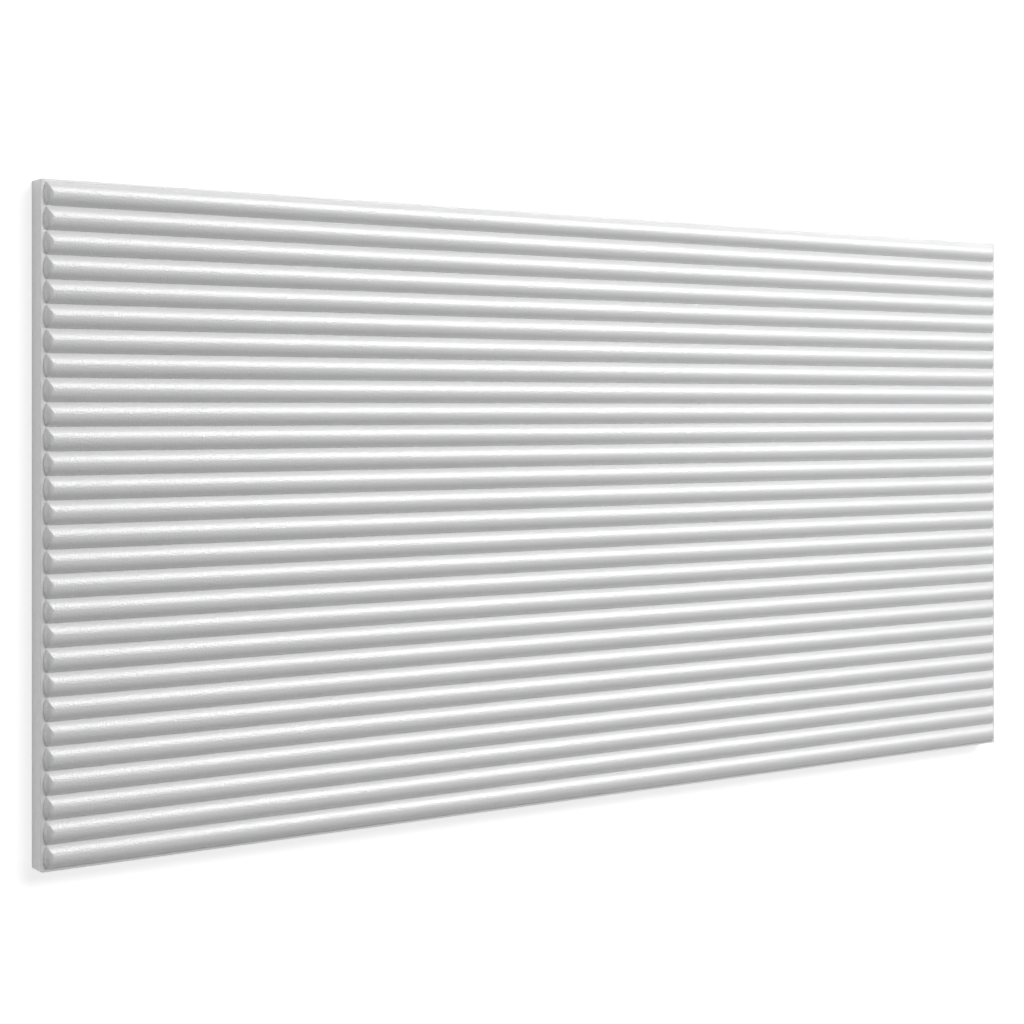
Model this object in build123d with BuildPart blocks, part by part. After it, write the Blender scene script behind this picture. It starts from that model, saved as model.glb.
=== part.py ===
"""Slat wall panel: a moulded foam board whose whole front is a row of half-round ribs.

The back lies flat on the ground plane, the ribs run along X and rise along Z.
"""
import os

from build123d import *

# Driving dimensions, in millimetres
panel_length = 1000.0
panel_width = 500.0
board_thickness = 17.0
rib_count = 28
rib_rise = 5.2
rim_width = 2.0
groove_width = 0.4
end_run = 6.5
end_bulge = 1.1
end_bow = 2.0
rib_corner_radius = 1.2
board_corner_radius = 1.5
front_edge_radius = 0.3

# Sizes that follow from the ones above
rib_field = panel_width - 2 * rim_width
rib_pitch = (rib_field + groove_width) / rib_count
rib_width = rib_pitch - groove_width
rib_length = panel_length - 2 * rim_width
half_rib = rib_length / 2
nose_radius = (rib_width ** 2 / 4 + end_bow ** 2) / (2 * end_bow)
nose_reach = half_rib - nose_radius
corner_softening = min(rib_corner_radius, 0.5 * rib_rise, 0.15 * rib_width, 0.38 * end_run)
board_softening = min(board_corner_radius, 0.9 * rim_width)
edge_softening = min(front_edge_radius, 0.6 * board_softening, 0.4 * board_thickness)

# The nose of a rib: its side view, bowed down to the foot, turned about an upright axis,
# so that seen from the front the rib ends in a shallow bow
with BuildPart() as nose:
    with BuildSketch(Plane.XZ) as nose_side_view:
        with BuildLine() as nose_outline:
            nose_foot = Line((0, 0), (nose_radius, 0))
            nose_wall = Line((nose_radius - end_run, rib_rise), (nose_radius - end_run, 2 * rib_rise))
            nose_top = Line(nose_wall @ 1, (0, 2 * rib_rise))
            Line(nose_top @ 1, nose_foot @ 0)
            SagittaArc(nose_foot @ 1, nose_wall @ 0, -end_bulge)
        make_face()
    revolve(axis=Axis.Z)

# One rib, standing on the ground plane: a bow-shaped section drawn out along X
with BuildPart() as rib:
    with BuildSketch(Plane.YZ) as rib_section:
        with BuildLine() as rib_outline:
            rib_chord = Line((-rib_width / 2, 0), (rib_width / 2, 0))
            SagittaArc(rib_chord @ 0, rib_chord @ 1, rib_rise)
        make_face()
    extrude(amount=half_rib, both=True)

    # Each end is cut to the nose, so it meets the rib's sides along a mitre
    with BuildPart(mode=Mode.INTERSECT) as rib_between_noses:
        with Locations((0, 0, rib_rise)):
            Box(2 * nose_reach, rib_width, 2 * rib_rise)
        with Locations(Location((nose_reach, 0, 0), (0, 0, 180)), Location((-nose_reach, 0, 0))):
            add(nose.part)
    curved_edges = rib.edges().filter_by(GeomType.LINE, reverse=True)
    mitres = curved_edges.filter_by(lambda edge: edge.center().Z > 0.1 * rib_rise)
    fillet(mitres, corner_softening)

# The board with all its ribs is one moulding
with BuildPart() as slat_panel:
    with BuildSketch() as board_outline:
        Rectangle(panel_length, panel_width)
        fillet(board_outline.vertices(), board_softening)
    extrude(amount=board_thickness)
    front_edges = slat_panel.faces().sort_by(Axis.Z)[-1].edges()
    fillet(front_edges, edge_softening)
    with Locations((0, 0, board_thickness)):
        with GridLocations(rib_length, rib_pitch, 1, rib_count):
            add(rib.part)

slat_panel.part.label = "slat_panel"

os.makedirs("parts", exist_ok=True)
export_step(slat_panel.part, "parts/slat_panel.step")
print("ribs", rib_count, "pitch", round(rib_pitch, 3), "rib width", round(rib_width, 3))
print("solids", len(slat_panel.part.solids()), "faces", len(slat_panel.part.faces()))
print("volume in litres", round(slat_panel.part.volume / 1e6, 3))
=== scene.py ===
# %% [markdown]
# # A reeded foam wall panel
# The panel is one moulding of white polystyrene foam: a flat board whose whole front is a row of
# half-round ribs. Each rib rounds down at both ends to a narrow flat rim. This lesson loads the
# measured solid as a frame, models a finer skin over it with hand operators, gives that skin the satin
# finish of pressed foam, and lights it as a product on a white floor.

# %% Load the measured solid
import math

import bpy
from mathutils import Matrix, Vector


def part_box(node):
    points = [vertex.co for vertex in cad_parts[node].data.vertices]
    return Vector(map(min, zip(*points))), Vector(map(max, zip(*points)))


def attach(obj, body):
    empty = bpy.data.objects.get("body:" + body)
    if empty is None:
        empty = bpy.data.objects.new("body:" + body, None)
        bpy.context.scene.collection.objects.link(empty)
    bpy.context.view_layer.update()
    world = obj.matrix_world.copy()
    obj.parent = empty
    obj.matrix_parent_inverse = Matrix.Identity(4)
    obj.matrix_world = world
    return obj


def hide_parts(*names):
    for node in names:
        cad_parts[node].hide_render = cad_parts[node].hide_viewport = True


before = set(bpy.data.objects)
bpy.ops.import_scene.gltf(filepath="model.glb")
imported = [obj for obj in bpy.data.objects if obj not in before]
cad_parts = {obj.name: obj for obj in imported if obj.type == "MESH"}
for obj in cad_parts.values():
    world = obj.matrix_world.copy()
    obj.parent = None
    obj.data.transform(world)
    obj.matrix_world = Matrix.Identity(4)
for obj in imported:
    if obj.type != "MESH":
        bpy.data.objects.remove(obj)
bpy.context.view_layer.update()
panel_low, panel_high = (Vector(corner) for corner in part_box("slat_panel"))
panel_length = panel_high.x - panel_low.x
panel_width = panel_high.y - panel_low.y
crest_height = panel_high.z
print("solid in metres", [round(v, 4) for v in (panel_length, panel_width, crest_height)])

# %% [markdown]
# ## The sizes that the skin shares with the solid
# The outline and the crest height are read from the solid itself. The rest are the sizes that the
# moulding was drawn with, here in metres: the board behind the ribs, the rim, the little flat at the
# foot of two neighbouring ribs, and how far a rib's end runs back, swells and bows.

# %% Shared sizes
MM = 0.001
rib_count = 28
board_thickness = 17.0 * MM
rim_width = 2.0 * MM
groove_width = 0.4 * MM
end_run = 6.5 * MM
end_bulge = 1.1 * MM
end_bow = 2.0 * MM
rib_corner_radius = 1.2 * MM
board_corner_radius = 1.5 * MM
front_edge_radius = 0.3 * MM

rib_rise = crest_height - board_thickness
rib_pitch = (panel_width - 2 * rim_width + groove_width) / rib_count
rib_width = rib_pitch - groove_width
rib_length = panel_length - 2 * rim_width
print("rib pitch", round(rib_pitch / MM, 3), "mm, rib width", round(rib_width / MM, 3), "mm")

# %% [markdown]
# ## The two bows of a rib
# A rib's section is a bow: the arc that stands on a chord as wide as the rib. Its end is a second,
# shallower bow, seen from the side. A level cut through the rib is therefore close to a rectangle, and
# going up it shrinks along Y by the first bow and along X by the second. Knowing that rectangle at
# every height is all that is needed to draw the rib with scaled extrusions.

# %% How wide and how long the rib is at each height
def bow_radius(chord, sagitta):
    """Radius of the circle whose arc rises by the sagitta over the chord."""
    return (chord * chord / 4 + sagitta * sagitta) / (2 * sagitta)


section_radius = bow_radius(rib_width, rib_rise)
foot_slope = math.asin(rib_width / 2 / section_radius)
end_chord = math.hypot(end_run, rib_rise)
end_radius = bow_radius(end_chord, end_bulge)


def height_at(slope):
    """Height on the section where its surface has the given slope."""
    return section_radius * math.cos(slope) - (section_radius - rib_rise)


def half_width_at(height):
    """Half width of the section at a height above the board."""
    to_centre = height + section_radius - rib_rise
    return math.sqrt(max(0.0, section_radius ** 2 - to_centre ** 2))


def end_setback(height):
    """How far the rib's end has drawn back from its foot at a height, on the shallower bow."""
    to_centre = math.sqrt(end_radius ** 2 - (end_chord / 2) ** 2)
    centre_run = end_run / 2 + to_centre * rib_rise / end_chord
    centre_height = rib_rise / 2 - to_centre * end_run / end_chord
    return centre_run - math.sqrt(end_radius ** 2 - (height - centre_height) ** 2)


print("bow radii", round(section_radius / MM, 2), "and", round(end_radius / MM, 2), "mm")
print("foot slope", round(math.degrees(foot_slope), 1), "degrees")

# %% [markdown]
# ## The foot of a rib
# The front repeats, so one rib is drawn and then copied. It starts as a flat grid as large as the foot
# of the rib. Lines run along the grid, and those next to its long sides are drawn in towards the
# middle, so that the corners have room to be rounded later.

# %% Lay out the foot of a rib
def only(obj):
    """Selects one object alone and makes it the active one."""
    bpy.ops.object.select_all(action="DESELECT")
    obj.select_set(True)
    bpy.context.view_layer.objects.active = obj


def pick(obj, kind, wanted):
    """In edit mode, selects just the vertices, edges or faces for which wanted() is true."""
    bpy.ops.mesh.select_mode(type=kind)
    bpy.ops.mesh.select_all(action="DESELECT")
    bpy.ops.object.mode_set(mode="OBJECT")
    mesh = obj.data
    parts = {"VERT": mesh.vertices, "EDGE": mesh.edges, "FACE": mesh.polygons}[kind]
    for part in parts:
        part.select = wanted(part)
    found = sum(part.select for part in parts)
    bpy.ops.object.mode_set(mode="EDIT")
    return found


FOOT_FACES = 8
DRAWN_IN = 0.7
# Points closer than this, in metres, count as touching
TOUCH = 1e-6

front_centre = (0, 0, board_thickness)
bpy.ops.object.select_all(action="DESELECT")
bpy.ops.mesh.primitive_grid_add(x_subdivisions=1, y_subdivisions=FOOT_FACES, size=1)
panel = bpy.context.active_object
panel.name = "reeded_panel"
panel.data.name = "reeded_panel"
panel.scale = (rib_length, rib_width, 1)
panel.location = front_centre
bpy.ops.object.transform_apply(location=True, rotation=False, scale=True)
bpy.ops.object.mode_set(mode="EDIT")
pick(panel, "VERT", lambda v: abs(v.co.y) < rib_width / 2 - TOUCH)
bpy.ops.transform.resize(value=(1, DRAWN_IN, 1), center_override=front_centre)
print("faces in the foot", len(panel.data.polygons))

# %% [markdown]
# ## One rib, by scaled extrusions
# The grid is extruded to the next height and scaled to that height's rectangle, again and again, so
# that its corner edges become the mitres where the end meets the sides. The steps are even in slope, so
# they crowd towards the crest as the surface levels out, and they stop short of level, which leaves a
# narrow strip as the crest. A boolean of two drawn-out bows would give the same form, but would leave
# long thin triangles along the mitres.

# %% Raise the rib
RIB_STEPS = 18
CREST_SLOPE = math.radians(3.0)

bpy.ops.mesh.select_all(action="SELECT")
last_width, last_length, last_height = rib_width / 2, rib_length / 2, 0.0
for step in range(1, RIB_STEPS + 1):
    height = height_at(foot_slope + (CREST_SLOPE - foot_slope) * step / RIB_STEPS)
    half_width = half_width_at(height)
    half_length = rib_length / 2 - end_setback(height)
    lift = (0, 0, height - last_height)
    shrink = (half_length / last_length, half_width / last_width, 1)
    bpy.ops.mesh.extrude_region_move(TRANSFORM_OT_translate={"value": lift})
    bpy.ops.transform.resize(value=shrink, center_override=front_centre)
    last_width, last_length, last_height = half_width, half_length, height
under_faces = pick(panel, "FACE", lambda f: f.center.z < board_thickness + TOUCH)
if under_faces:
    bpy.ops.mesh.delete(type="FACE")
bpy.ops.object.mode_set(mode="OBJECT")
print("under faces taken off", under_faces, "faces in the rib", len(panel.data.polygons), "crest at",
      round((board_thickness + last_height) / MM, 2), "mm")

# %% [markdown]
# ## Soft mitres
# Pressed foam has no razor edges: where a rib's side turns into its end, the corner is rounded. The
# rounding is broad at the foot, where both faces are steep, and dies away at the crest. A Bevel
# modifier limited by edge weight does this, with the weight of each step of the mitre worked out from
# the two slopes that meet there, as for a ball rolled along the corner. Clamping stays off, because
# the short steps near the crest would hold the whole bevel down to their own width. Instead each
# weight is held to the room that the mesh has beside that step, so that nothing folds over.

# %% Round the mitres
WIDEST_BEVEL = 1.2 * MM
MITRE_SEGMENTS = 4
# Share of the half width that the rounding may take before it meets the next line of the mesh
CORNER_ROOM = 0.42
# A mitre edge runs in all three directions by more than this, in metres
SHORTEST_RUN = 1e-7

mesh = panel.data
weights = mesh.attributes.new("bevel_weight_edge", "FLOAT", "EDGE")
mitre_edges = 0
for edge in mesh.edges:
    start, end = (mesh.vertices[i].co for i in edge.vertices)
    across = abs(start.y - end.y)
    along = abs(start.x - end.x)
    up = abs(start.z - end.z)
    on_side = abs(abs(start.y) - half_width_at(start.z - board_thickness)) < TOUCH
    if min(across, along, up) < SHORTEST_RUN or not on_side:
        continue
    side_facing = Vector((0, up / across, 1))
    end_facing = Vector((up / along, 0, 1))
    cut = rib_corner_radius * math.tan(side_facing.angle(end_facing) / 2)
    room = CORNER_ROOM * min(abs(start.y), abs(end.y)) * math.hypot(along, up) / (end - start).length
    weights.data[edge.index].value = min(1.0, cut / WIDEST_BEVEL, room / WIDEST_BEVEL)
    mitre_edges += 1
only(panel)
soft_mitres = panel.modifiers.new("soft mitres", "BEVEL")
soft_mitres.limit_method = "WEIGHT"
soft_mitres.width = WIDEST_BEVEL
soft_mitres.segments = MITRE_SEGMENTS
soft_mitres.use_clamp_overlap = False
bpy.ops.object.modifier_apply(modifier=soft_mitres.name)
print("mitre edges rounded", mitre_edges, "faces now", len(panel.data.polygons))

# %% [markdown]
# ## Bowed ends
# Seen from the front a rib doesn't end square: its end swells a little towards the rim, and the rim is
# scalloped at the grooves. A lattice of seven rows does that as a sculptor's cage would: its rows are
# drawn in along X, more and more away from the rib's middle. The rows follow a parabola, which the
# lattice's own smoothing keeps.

# %% Bow the ends
CAGE_ROWS = 7
# With rows this close, the rib lies well inside the cage, whose outermost rows bend less smoothly
cage_spacing = rib_pitch / 3.9
cage_height = 4 * rib_rise

bpy.ops.object.add(type="LATTICE", location=front_centre)
cage = bpy.context.active_object
cage.scale = (panel_length, (CAGE_ROWS - 1) * cage_spacing, cage_height)
cage.data.points_u, cage.data.points_v, cage.data.points_w = 2, CAGE_ROWS, 2
cage.data.interpolation_type_u = "KEY_LINEAR"
cage.data.interpolation_type_v = "KEY_BSPLINE"
cage.data.interpolation_type_w = "KEY_LINEAR"
for row in range(CAGE_ROWS):
    for number, point in enumerate(cage.data.points):
        point.select = (number // 2) % CAGE_ROWS == row
    row_place = (row - (CAGE_ROWS - 1) / 2) * cage_spacing
    draw_in = end_bow * (row_place ** 2 - cage_spacing ** 2 / 3) / (rib_width / 2) ** 2
    bpy.ops.object.mode_set(mode="EDIT")
    bpy.ops.transform.resize(value=(1 - draw_in / (panel_length / 2), 1, 1), center_override=front_centre)
    bpy.ops.object.mode_set(mode="OBJECT")
only(panel)
bowed_ends = panel.modifiers.new("bowed ends", "LATTICE")
bowed_ends.object = cage
bpy.ops.object.modifier_apply(modifier=bowed_ends.name)
only(cage)
bpy.ops.object.delete()
only(panel)
foot_ends = [abs(v.co.x) for v in panel.data.vertices if abs(v.co.z - board_thickness) < TOUCH]
print("foot reaches", round(max(foot_ends) / MM, 2), "mm and is drawn in to", round(min(foot_ends) / MM, 2))

# %% [markdown]
# ## Rim and groove
# The flats round the rib come next. The curved line at each end of the foot is extruded and flattened
# onto the rim's outer edge by scaling it to nothing along X. Then the two straight sides, now as long
# as the panel, are extruded outwards by half a groove.

# %% Draw the flats round the rib
def edge_middle(edge):
    """Middle of an edge of the panel's mesh."""
    start, end = (panel.data.vertices[i].co for i in edge.vertices)
    return (start + end) / 2


def at_foot(edge):
    """Whether an edge lies on the board's front plane."""
    return all(abs(panel.data.vertices[i].co.z - board_thickness) < TOUCH for i in edge.vertices)


bpy.ops.object.mode_set(mode="EDIT")
for side in (-1, 1):
    end_line = pick(panel, "EDGE", lambda e: at_foot(e) and side * edge_middle(e).x > rib_length / 4)
    bpy.ops.mesh.extrude_region_move(TRANSFORM_OT_translate={"value": (side * rim_width, 0, 0)})
    rim_line = (side * panel_length / 2, 0, board_thickness)
    bpy.ops.transform.resize(value=(0, 1, 1), center_override=rim_line)
for side in (-1, 1):
    side_line = pick(panel, "EDGE", lambda e: at_foot(e)
                     and abs(edge_middle(e).y - side * rib_width / 2) < TOUCH)
    bpy.ops.mesh.extrude_region_move(TRANSFORM_OT_translate={"value": (0, side * groove_width / 2, 0)})
bpy.ops.object.mode_set(mode="OBJECT")
print("edges in an end line", end_line, "edges in a side line", side_line)

# %% [markdown]
# ## The row of ribs
# An Array modifier repeats the strip at the rib pitch and welds each copy to the next one along the
# middle of the groove, so the front stays one skin.

# %% Repeat the strip
WELD = 0.02 * MM

first_rib = -(rib_count - 1) / 2 * rib_pitch
bpy.ops.object.mode_set(mode="EDIT")
bpy.ops.mesh.select_all(action="SELECT")
bpy.ops.transform.translate(value=(0, first_rib, 0))
bpy.ops.object.mode_set(mode="OBJECT")
rib_row = panel.modifiers.new("row of ribs", "ARRAY")
rib_row.count = rib_count
rib_row.use_relative_offset = False
rib_row.use_constant_offset = True
rib_row.constant_offset_displace = (0, rib_pitch, 0)
rib_row.use_merge_vertices = True
rib_row.merge_threshold = WELD
bpy.ops.object.modifier_apply(modifier=rib_row.name)
print("faces in the row", len(panel.data.polygons))

# %% [markdown]
# ## Rim, walls and back
# The two long sides still lack what is left of their rim. Their border edges are extruded outwards,
# then the whole border is extruded down to the floor as the board's side walls. The back, the plain face
# that the glue goes on, is bridged from one end to the other in long strips, after the points between
# the ends are dissolved. Filled as one face it would have a thousand corners and crack when it is cut
# into triangles.

# %% Close the board
row_edge = rib_count * rib_pitch / 2
rim_rest = panel_width / 2 - row_edge

bpy.ops.object.mode_set(mode="EDIT")
for side in (-1, 1):
    pick(panel, "EDGE", lambda e: abs(edge_middle(e).y - side * row_edge) < TOUCH)
    bpy.ops.mesh.extrude_region_move(TRANSFORM_OT_translate={"value": (0, side * rim_rest, 0)})
bpy.ops.mesh.select_mode(type="EDGE")
bpy.ops.mesh.select_all(action="DESELECT")
bpy.ops.mesh.select_non_manifold(extend=False, use_wire=False, use_boundary=True,
                                 use_multi_face=False, use_non_contiguous=False, use_verts=False)
bpy.ops.mesh.extrude_region_move(TRANSFORM_OT_translate={"value": (0, 0, -board_thickness)})
pick(panel, "VERT", lambda v: v.co.z < TOUCH and abs(v.co.x) < panel_length / 2 - TOUCH)
bpy.ops.mesh.dissolve_verts()
end_feet = pick(panel, "EDGE", lambda e: edge_middle(e).z < TOUCH
                and abs(edge_middle(e).x) > panel_length / 2 - TOUCH)
bpy.ops.mesh.bridge_edge_loops()
print("edges bridged across the back", end_feet)
corners = pick(panel, "EDGE", lambda e: abs(edge_middle(e).x) > panel_length / 2 - TOUCH
               and abs(edge_middle(e).y) > panel_width / 2 - TOUCH
               and abs(edge_middle(e).z - board_thickness / 2) < board_thickness / 4)
print("upright corners", corners)

# %% [markdown]
# ## Rounded outer edges
# The board's four upright corners and the outer edge of its rim are rounded a little, as a mould leaves
# them. That edge shows in the photograph as a thin light line. The back edges stay square.

# %% Round the outer edges
CORNER_SEGMENTS = 5
EDGE_SEGMENTS = 4
# A face whose normal rises or falls by less than this is a side wall
UPRIGHT = 0.01
DOUBLES = 0.005 * MM
SMOOTH_BELOW = math.radians(38)

bpy.ops.mesh.bevel(offset=board_corner_radius, offset_type="OFFSET", segments=CORNER_SEGMENTS,
                   affect="EDGES")
bpy.ops.object.mode_set(mode="OBJECT")
wall_edges = set()
for face in panel.data.polygons:
    if abs(face.normal.z) < UPRIGHT and face.center.z < board_thickness:
        wall_edges.update(face.edge_keys)
bpy.ops.object.mode_set(mode="EDIT")
rim_edges = pick(panel, "EDGE", lambda e: e.key in wall_edges and at_foot(e))
bpy.ops.mesh.bevel(offset=front_edge_radius, offset_type="OFFSET", segments=EDGE_SEGMENTS,
                   affect="EDGES")
bpy.ops.mesh.select_all(action="SELECT")
bpy.ops.mesh.remove_doubles(threshold=DOUBLES)
bpy.ops.mesh.normals_make_consistent(inside=False)
bpy.ops.object.mode_set(mode="OBJECT")
only(panel)
bpy.ops.object.shade_smooth_by_angle(angle=SMOOTH_BELOW)
print("rim edges rounded", rim_edges, "faces in the panel", len(panel.data.polygons))

# %% [markdown]
# ## Hand the skin to the frame
# The new skin stands for the solid of the same shape: the solid stays for collision and is hidden in
# the picture.

# %% Tie the skin to the part
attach(panel, "root")
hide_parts("slat_panel")
panel.data.materials.clear()
print("skin rides on root and stands for slat_panel")

# %% [markdown]
# ## Pressed polystyrene foam
# The board is polystyrene foam with a hot-pressed skin: white, with a satin gloss and a grain as fine
# as sugar from the cells under the skin. Polystyrene's index of refraction is about 1.59. The grain is
# a bump from noise about a millimetre across, and the gloss varies with it, so that the highlight along
# each rib breaks up into fine speckle. The pressed skin shines more than the cells under it, so it is a
# coat, which follows the same grain. A second, broad noise keeps the white from being dead even.

# %% Foam skin material
# The cells are finer than a pixel of the picture, so the grain is drawn this coarse to show
GRAIN_MM = 1.3
GRAIN_HEIGHT = 0.95 * MM
GRAIN_STRENGTH = 0.4
CLOUD_MM = 45
POLYSTYRENE_IOR = 1.59

# Socket numbers of a colour mix, whose inputs share their names with the other kinds of mix
MIX_SHARE, MIX_FIRST, MIX_SECOND, MIX_RESULT = 0, 6, 7, 2


def linear(hex_colour):
    """Turns an sRGB hex colour into the linear values that shaders use."""
    channels = [int(hex_colour[i:i + 2], 16) / 255 for i in (1, 3, 5)]
    curve = [c / 12.92 if c <= 0.04045 else ((c + 0.055) / 1.055) ** 2.4 for c in channels]
    return (*curve, 1.0)


def add_node(tree, kind, settings=None, links=None):
    """Adds a node, sets its properties and input values, and links its inputs to given outputs."""
    node = tree.nodes.new(kind)
    for name, value in (settings or {}).items():
        if isinstance(name, int) or name in node.inputs:
            node.inputs[name].default_value = value
        else:
            setattr(node, name, value)
    for name, output in (links or {}).items():
        tree.links.new(output, node.inputs[name])
    return node


def noise_scale(size_mm):
    """Noise scale, on coordinates in metres, whose lumps are about the given size."""
    return 1 / (size_mm * MM)


foam = bpy.data.materials.new("pressed polystyrene foam")
foam.use_nodes = True
tree = foam.node_tree
tree.nodes.clear()
place = add_node(tree, "ShaderNodeTexCoord").outputs["Object"]
grain = add_node(tree, "ShaderNodeTexNoise",
                 {"Scale": noise_scale(GRAIN_MM), "Detail": 2.0, "Roughness": 0.55},
                 {"Vector": place}).outputs["Fac"]
cloud = add_node(tree, "ShaderNodeTexNoise",
                 {"Scale": noise_scale(CLOUD_MM), "Detail": 2.0, "Roughness": 0.5},
                 {"Vector": place}).outputs["Fac"]
tint = add_node(tree, "ShaderNodeMix",
                {"data_type": "RGBA", MIX_FIRST: linear("#DBDBDC"), MIX_SECOND: linear("#D7D7D8")},
                {MIX_SHARE: cloud}).outputs[MIX_RESULT]
gloss = add_node(tree, "ShaderNodeMapRange",
                 {"From Min": 0.3, "From Max": 0.7, "To Min": 0.40, "To Max": 0.55},
                 {"Value": grain}).outputs["Result"]
bump = add_node(tree, "ShaderNodeBump", {"Strength": GRAIN_STRENGTH, "Distance": GRAIN_HEIGHT},
                {"Height": grain}).outputs["Normal"]
skin = add_node(tree, "ShaderNodeBsdfPrincipled",
                {"IOR": POLYSTYRENE_IOR, "Specular IOR Level": 0.6, "Coat Weight": 1.0,
                 "Coat Roughness": 0.28, "Coat IOR": 1.6},
                {"Base Color": tint, "Roughness": gloss, "Normal": bump, "Coat Normal": bump})
add_node(tree, "ShaderNodeOutputMaterial", None, {"Surface": skin.outputs["BSDF"]})
panel.data.materials.append(foam)
print("foam nodes", len(tree.nodes))

# %% [markdown]
# ## Floor
# The panel lies on a plain white floor that fades into the background. The camera sees that floor
# lifted to white, and the lift is partial, so the soft shadow at the panel's foot stays.

# %% White floor
FLOOR_SIZE = 40.0
FLOOR_LIFT = 0.73

bpy.ops.object.select_all(action="DESELECT")
bpy.ops.mesh.primitive_plane_add(size=FLOOR_SIZE, location=(0, 0, 0))
floor = bpy.context.active_object
floor.name = "floor"
floor_paint = bpy.data.materials.new("white studio floor")
floor_paint.use_nodes = True
tree = floor_paint.node_tree
tree.nodes.clear()
seen = add_node(tree, "ShaderNodeLightPath").outputs
shown = add_node(tree, "ShaderNodeMath", {"operation": "MAXIMUM"},
                 {0: seen["Is Camera Ray"], 1: seen["Is Glossy Ray"]}).outputs[0]
shown = add_node(tree, "ShaderNodeMath", {"operation": "MAXIMUM"},
                 {0: shown, 1: seen["Is Transmission Ray"]}).outputs[0]
shade = add_node(tree, "ShaderNodeMix",
                 {"data_type": "RGBA", MIX_FIRST: linear("#F4F4F4"), MIX_SECOND: linear("#BABABA")},
                 {MIX_SHARE: shown}).outputs[MIX_RESULT]
matte = add_node(tree, "ShaderNodeBsdfDiffuse", None, {"Color": shade}).outputs[0]
lift_strength = add_node(tree, "ShaderNodeMath", {"operation": "MULTIPLY", 1: FLOOR_LIFT},
                         {0: shown}).outputs[0]
glow = add_node(tree, "ShaderNodeEmission", {"Color": (1, 1, 1, 1)}, {"Strength": lift_strength}).outputs[0]
lifted = add_node(tree, "ShaderNodeAddShader", None, {0: matte, 1: glow}).outputs[0]
add_node(tree, "ShaderNodeOutputMaterial", None, {"Surface": lifted})
floor.data.materials.append(floor_paint)
print("floor nodes", len(tree.nodes))

# %% [markdown]
# ## Light
# Two broad soft boxes stand above the panel on the side that is up in the photograph, both towards its
# right end: a large one far off and a smaller one nearer. So the ribs' upper flanks shine, and their
# lower flanks and left ends fall into soft shade. A weak strip low on the left lifts the side wall that
# faces it, and the white room does the rest.

# %% Soft boxes and room
def soft_box(name, place_at, look_at, size, watts):
    """Adds a rectangular area lamp that faces a point."""
    bpy.ops.object.light_add(type="AREA", location=place_at)
    lamp = bpy.context.active_object
    lamp.name = name
    lamp.data.shape = "RECTANGLE"
    lamp.data.size, lamp.data.size_y = size
    lamp.data.energy = watts
    aim = Vector(look_at) - Vector(place_at)
    lamp.rotation_euler = aim.to_track_quat("-Z", "Y").to_euler()
    return lamp


ROOM_LIGHT = 0.21

soft_box("key soft box", place_at=(1.7, 3.2, 4.2), look_at=(0, 0, 0), size=(4.0, 2.4), watts=212)
soft_box("right soft box", place_at=(2.2, 1.4, 2.1), look_at=(0.2, 0, 0), size=(1.8, 1.2), watts=42)
soft_box("low fill", place_at=(-2.4, 0, 0.16), look_at=(-0.5, 0, 0), size=(1.6, 0.2), watts=4.5)

world = bpy.data.worlds.new("white room")
bpy.context.scene.world = world
world.use_nodes = True
tree = world.node_tree
tree.nodes.clear()
room = add_node(tree, "ShaderNodeBackground", {"Color": (1, 1, 1, 1), "Strength": ROOM_LIGHT}).outputs[0]
add_node(tree, "ShaderNodeOutputWorld", None, {"Surface": room})

# %% [markdown]
# ## Camera
# In the photograph the upright edges are parallel while the ribs converge, so the camera looked level
# and the frame was shifted. With the panel lying flat, level means that the camera's up direction is
# the panel's own Y. Place, turn, lens and shift come from fitting the panel's outline to the picture.

# %% Camera
FRAME_PIXELS = 1024
FOCAL_PIXELS = 2014
HORIZON_PIXEL = 409.4
SENSOR_WIDTH = 36.0
# Sideways, up and out from the middle of the board's front, in metres
CAMERA_PLACE = Vector((-1.0452, 0.0835, 1.3843))
CAMERA_TURN = math.radians(-34.67)

camera_data = bpy.data.cameras.new("camera")
camera = bpy.data.objects.new("camera", camera_data)
bpy.context.scene.collection.objects.link(camera)
camera_data.sensor_width = SENSOR_WIDTH
camera_data.lens = SENSOR_WIDTH * FOCAL_PIXELS / FRAME_PIXELS
camera_data.shift_y = (HORIZON_PIXEL - FRAME_PIXELS / 2) / FRAME_PIXELS
camera.location = CAMERA_PLACE + Vector(front_centre)
camera.rotation_euler = (0, CAMERA_TURN, 0)
bpy.context.scene.camera = camera
bpy.context.scene.view_settings.view_transform = "Standard"
print("lens", round(camera_data.lens, 1), "mm, shift", round(camera_data.shift_y, 3))
